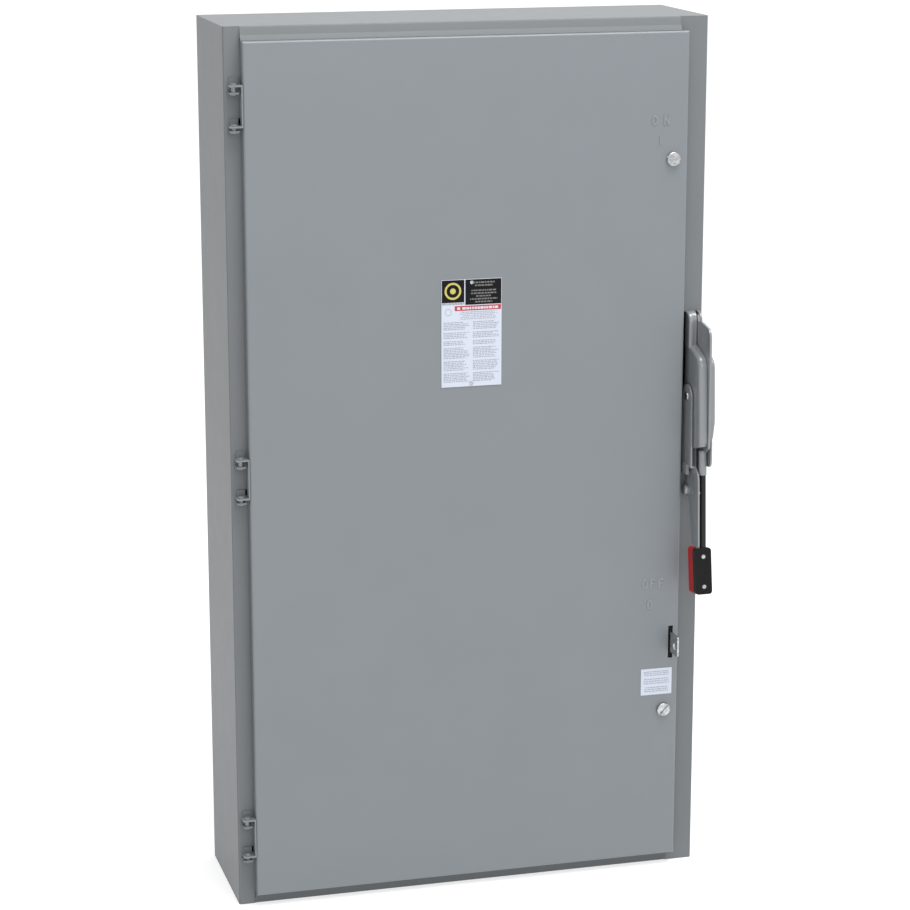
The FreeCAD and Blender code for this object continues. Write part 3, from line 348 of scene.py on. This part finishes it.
def label_header(left, right, top, face):
    """Black square with a plain yellow ring and dot, beside a black header with rows of dashes."""
    split = left + SQUARE_WIDE
    square_foot = top - SQUARE_FOOT
    header_foot = top - HEADER_FOOT
    ink = face - FILM
    panel("label_square", left + PLATE_EDGE, split, square_foot, top - PLATE_EDGE, face, ink_black)
    panel("label_header", split + HEADER_GAP, right - PLATE_EDGE, header_foot, top - PLATE_EDGE,
          face, ink_black)
    text_rows("label_square_foot", left + 1 * MM, split, square_foot - 0.8 * MM,
              header_foot + 0.4 * MM, 2, face, ink_dim, 2, ink=0.6)
    mark_x = (left + split) / 2
    mark_z = (top + square_foot) / 2
    ring("label_mark", mark_x, mark_z, MARK_OUTER, MARK_INNER, ink, ink_yellow)
    slab("label_mark_dot", disc(mark_x, mark_z, MARK_DOT, 32), ink, FILM, ink_yellow, "door")
    text_rows("label_heading", split + 11 * MM, right - 9 * MM, top - 4 * MM, top - 12.5 * MM, 2,
              ink, ink_dim, 3, ink=0.52, ragged=0.3, centred=True)
    text_rows("label_subheading", split + 8 * MM, right - 6 * MM, top - 15.5 * MM, top - 36 * MM, 5,
              ink, ink_dim, 4, ink=0.5, ragged=0.5, centred=True)


def label_band(left, right, band_top, band_foot, face):
    """Red band with white dashes and a white block, and a plain grey ring below its left end."""
    start = left + BAND_START * (right - left)
    ink = face - FILM
    panel("label_band", start, right - 1 * MM, band_foot, band_top, face, ink_red)
    text_rows("label_band_words", start + 11 * MM, right - 5 * MM, band_top - 1.9 * MM,
              band_foot + 1.7 * MM, 1, ink, ink_white, 8, ink=1.0)
    panel("label_band_block", start + 3.4 * MM, start + 8 * MM, band_foot + 1.5 * MM,
          band_top - 1.9 * MM, ink, ink_white)
    ring("label_small_mark", left + 10 * MM, band_top - 8.5 * MM, SMALL_MARK_OUTER,
         SMALL_MARK_INNER, face, ink_grey)


def label_print(left, right, band_foot, bottom, face):
    """A few centred rows under the band, then two columns of faint small print."""
    middle = (left + right) / 2
    text_rows("label_strap", middle - 19 * MM, right - 6 * MM, band_foot - 1.8 * MM,
              band_foot - 14 * MM, 5, face, ink_grey, 5, ink=0.42, ragged=0.25, centred=True)
    start = band_foot - PRINT_START
    height = start - (bottom + PRINT_FOOT)
    columns = ((left + 3 * MM, middle - 1.5 * MM), (middle + 2 * MM, right - 3 * MM))
    for column, (x0, x1) in enumerate(columns):
        for part, (share0, share1) in enumerate(PARAGRAPHS):
            rows = max(2, round((share1 - share0) * PRINT_ROWS))
            text_rows(f"label_print_{column}_{part}", x0, x1, start - share0 * height,
                      start - share1 * height, rows, face, ink_grey, 20 + column * 7 + part,
                      ink=0.48, ragged=0.3)


def rating_label():
    """White plate with a black header, a red band and two columns of faint small print."""
    low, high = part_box("rating_plate")
    band_top = high.z - HEADER_FOOT - BAND_GAP
    band_foot = band_top - BAND_TALL
    label_header(low.x, high.x, high.z, low.y)
    label_band(low.x, high.x, band_top, band_foot, low.y)
    label_print(low.x, high.x, band_foot, low.z, low.y)


def notice_label():
    """Small white label with three blocks of faint small print."""
    low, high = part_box("notice_plate")
    height = high.z - low.z
    for part, (share0, share1) in enumerate(NOTICE_PARAGRAPHS):
        text_rows(f"notice_print_{part}", low.x + 3 * MM, high.x - 3 * MM, high.z - share0 * height,
                  high.z - share1 * height, 3, low.y, ink_grey, 60 + part, ink=0.45, ragged=0.2,
                  centred=True)


rating_label()
notice_label()


# ---------------------------------------------------------------- raised lettering

LETTER = 15 * MM
LETTER_WIDE = LETTER * 0.62
STROKE = 2.8 * MM
RAISE = 0.9 * MM
ROOT = 0.2 * MM
STEP = 0.04 * MM
END_STEPS = 8
OVAL_POINTS = 36
# Lower left corner of the first letter of each word.
ON_X, ON_Z = 0.2620, 0.4865
OFF_X, OFF_Z = 0.2586, -0.1995
# The strokes of each letter, from (u, v) to (u, v), as shares of its width and height.
STROKES = {
    "N": ((0, 0, 0, 1), (0, 1, 1, 0), (1, 0, 1, 1)),
    "F": ((0, 0, 0, 1), (0, 1, 1, 1), (0, 0.52, 0.8, 0.52)),
    "I": ((0.5, 0, 0.5, 1),),
}
door_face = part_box("door_panel")[0].y


def stroke(x0, z0, x1, z1, width):
    """Outline of a straight stroke with round ends."""
    along = Vector((x1 - x0, 0, z1 - z0))
    angle = math.atan2(along.z, along.x)
    outline = []
    for cx, cz, start in ((x1, z1, angle - math.pi / 2), (x0, z0, angle + math.pi / 2)):
        for step in range(END_STEPS + 1):
            turn = start + math.pi * step / END_STEPS
            outline.append((cx + width / 2 * math.cos(turn), cz + width / 2 * math.sin(turn)))
    return outline


def raised(name, outline, hole=None, layer=0):
    """One stroke pressed outwards in the door; crossing strokes take different layers."""
    obj = slab(name, outline, door_face + ROOT, RAISE + ROOT - layer * STEP, glossy_paint,
               "door", hole)
    soften(obj, 0.8 * MM, 5)


def letter(name, shape, x, z):
    """A plain block letter whose lower left corner is at x, z."""
    if shape == "O":
        cx, cz = x + LETTER_WIDE / 2, z + LETTER / 2
        outer, inner = (oval(cx, cz, LETTER_WIDE / 2 - trim, LETTER / 2 - trim, OVAL_POINTS)
                        for trim in (0.0, STROKE))
        raised(name, outer, inner)
        return
    x, z = x + STROKE / 2, z + STROKE / 2
    span, tall = LETTER_WIDE - STROKE, LETTER - STROKE
    for layer, (u0, v0, u1, v1) in enumerate(STROKES[shape]):
        outline = stroke(x + u0 * span, z + v0 * tall, x + u1 * span, z + v1 * tall, STROKE)
        raised(f"{name}_{layer}", outline, layer=layer)


def lettering():
    """ON over a bar above the upper fastener, OFF over a ring far above the lower one."""
    letter("raised_on_o", "O", ON_X, ON_Z)
    letter("raised_on_n", "N", ON_X + 18 * MM, ON_Z)
    letter("raised_on_bar", "I", ON_X + 9 * MM, ON_Z - 28 * MM)
    for place, shape in enumerate("OFF"):
        letter(f"raised_off_{place}", shape, OFF_X + 12.6 * MM * place, OFF_Z)
    letter("raised_off_ring", "O", OFF_X + 8 * MM, OFF_Z - 32 * MM)


lettering()


# ---------------------------------------------------------------- studio

WHITE = (1.0, 1.0, 1.0, 1.0)
SURROUND = 1.04
HINGE_SIDE = 0.30
# How far the surround leans to the hinge side, as a share of -X, where it dims from and to.
DIM_FROM, DIM_TO = -0.25, -0.95
FLOOR_GLOW = 0.62
FLOOR_HALF = 40.0
# name, where it stands, what it aims at, its width and depth, watts
LAMPS = (
    ("top_softbox", (0.5, -1.0, 2.9), (0.1, -0.1, 0.4), (2.2, 1.4), 78.0),
    ("front_softbox", (-0.4, -4.6, 2.0), (0, -0.2, 0.0), (2.4, 2.4), 34.0),
)
AZIMUTH = math.radians(-15.344)
ELEVATION = math.radians(13.714)
STANDPOINT = (-1.04082, -3.91070, 0.95759)
LENS = 108.64


def pale_floor():
    """Floor finish that glows a little, so that it stays white under the box."""
    material = surface("pale_floor", (0.50, 0.50, 0.50), spread=0.002, roughness=0.9)
    shader = material.node_tree.nodes["Principled BSDF"]
    shader.inputs["Emission Color"].default_value = WHITE
    shader.inputs["Emission Strength"].default_value = FLOOR_GLOW
    return material


def surround():
    """White all round to the eye, and a dimmer light from the hinge side."""
    world = bpy.data.worlds.new("pale_surround")
    bpy.context.scene.world = world
    world.use_nodes = True
    tree_nodes, links = world.node_tree.nodes, world.node_tree.links
    background = tree_nodes["Background"]
    background.inputs["Color"].default_value = WHITE
    coords = tree_nodes.new("ShaderNodeTexCoord")
    direction = tree_nodes.new("ShaderNodeSeparateXYZ")
    links.new(coords.outputs["Generated"], direction.inputs["Vector"])
    light = tree_nodes.new("ShaderNodeMapRange")
    light.interpolation_type = "SMOOTHSTEP"
    for socket, value in (("From Min", DIM_TO), ("From Max", DIM_FROM), ("To Min", HINGE_SIDE),
                          ("To Max", SURROUND)):
        light.inputs[socket].default_value = value
    links.new(direction.outputs["X"], light.inputs["Value"])
    ray = tree_nodes.new("ShaderNodeLightPath")
    strength = tree_nodes.new("ShaderNodeMix")
    strength.data_type = "FLOAT"
    strength.inputs["B"].default_value = SURROUND
    links.new(ray.outputs["Is Camera Ray"], strength.inputs["Factor"])
    links.new(light.outputs["Result"], strength.inputs["A"])
    links.new(strength.outputs["Result"], background.inputs["Strength"])


def floor_plane():
    """Wide pale floor under the box."""
    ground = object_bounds()[0][2]
    corners = [(x * FLOOR_HALF, y * FLOOR_HALF, ground)
               for x, y in ((-1, -1), (1, -1), (1, 1), (-1, 1))]
    mesh = bpy.data.meshes.new("floor")
    mesh.from_pydata(corners, [], [(0, 1, 2, 3)])
    mesh.materials.append(pale_floor())
    floor = bpy.data.objects.new("floor", mesh)
    bpy.context.scene.collection.objects.link(floor)


def softbox(name, where, target, size, power):
    """A rectangular soft light that faces its target."""
    light = bpy.data.lights.new(name, "AREA")
    light.shape = "RECTANGLE"
    light.size, light.size_y = size
    light.energy = power
    lamp = bpy.data.objects.new(name, light)
    lamp.location = where
    lamp.rotation_euler = (Vector(target) - Vector(where)).to_track_quat("-Z", "Y").to_euler()
    bpy.context.scene.collection.objects.link(lamp)


def camera():
    """The standing photographer's view, from the left and a little above."""
    lens = bpy.data.cameras.new("view")
    lens.sensor_width = 36.0
    lens.lens = LENS
    lens.clip_end = 200.0
    viewer = bpy.data.objects.new("view", lens)
    viewer.location = STANDPOINT
    back = Vector((math.sin(AZIMUTH) * math.cos(ELEVATION), -math.cos(AZIMUTH) * math.cos(ELEVATION),
                   math.sin(ELEVATION)))
    viewer.rotation_euler = back.to_track_quat("Z", "Y").to_euler()
    bpy.context.scene.collection.objects.link(viewer)
    bpy.context.scene.camera = viewer


floor_plane()
surround()
for lamp_settings in LAMPS:
    softbox(*lamp_settings)
camera()
bpy.context.scene.view_settings.view_transform = "Standard"
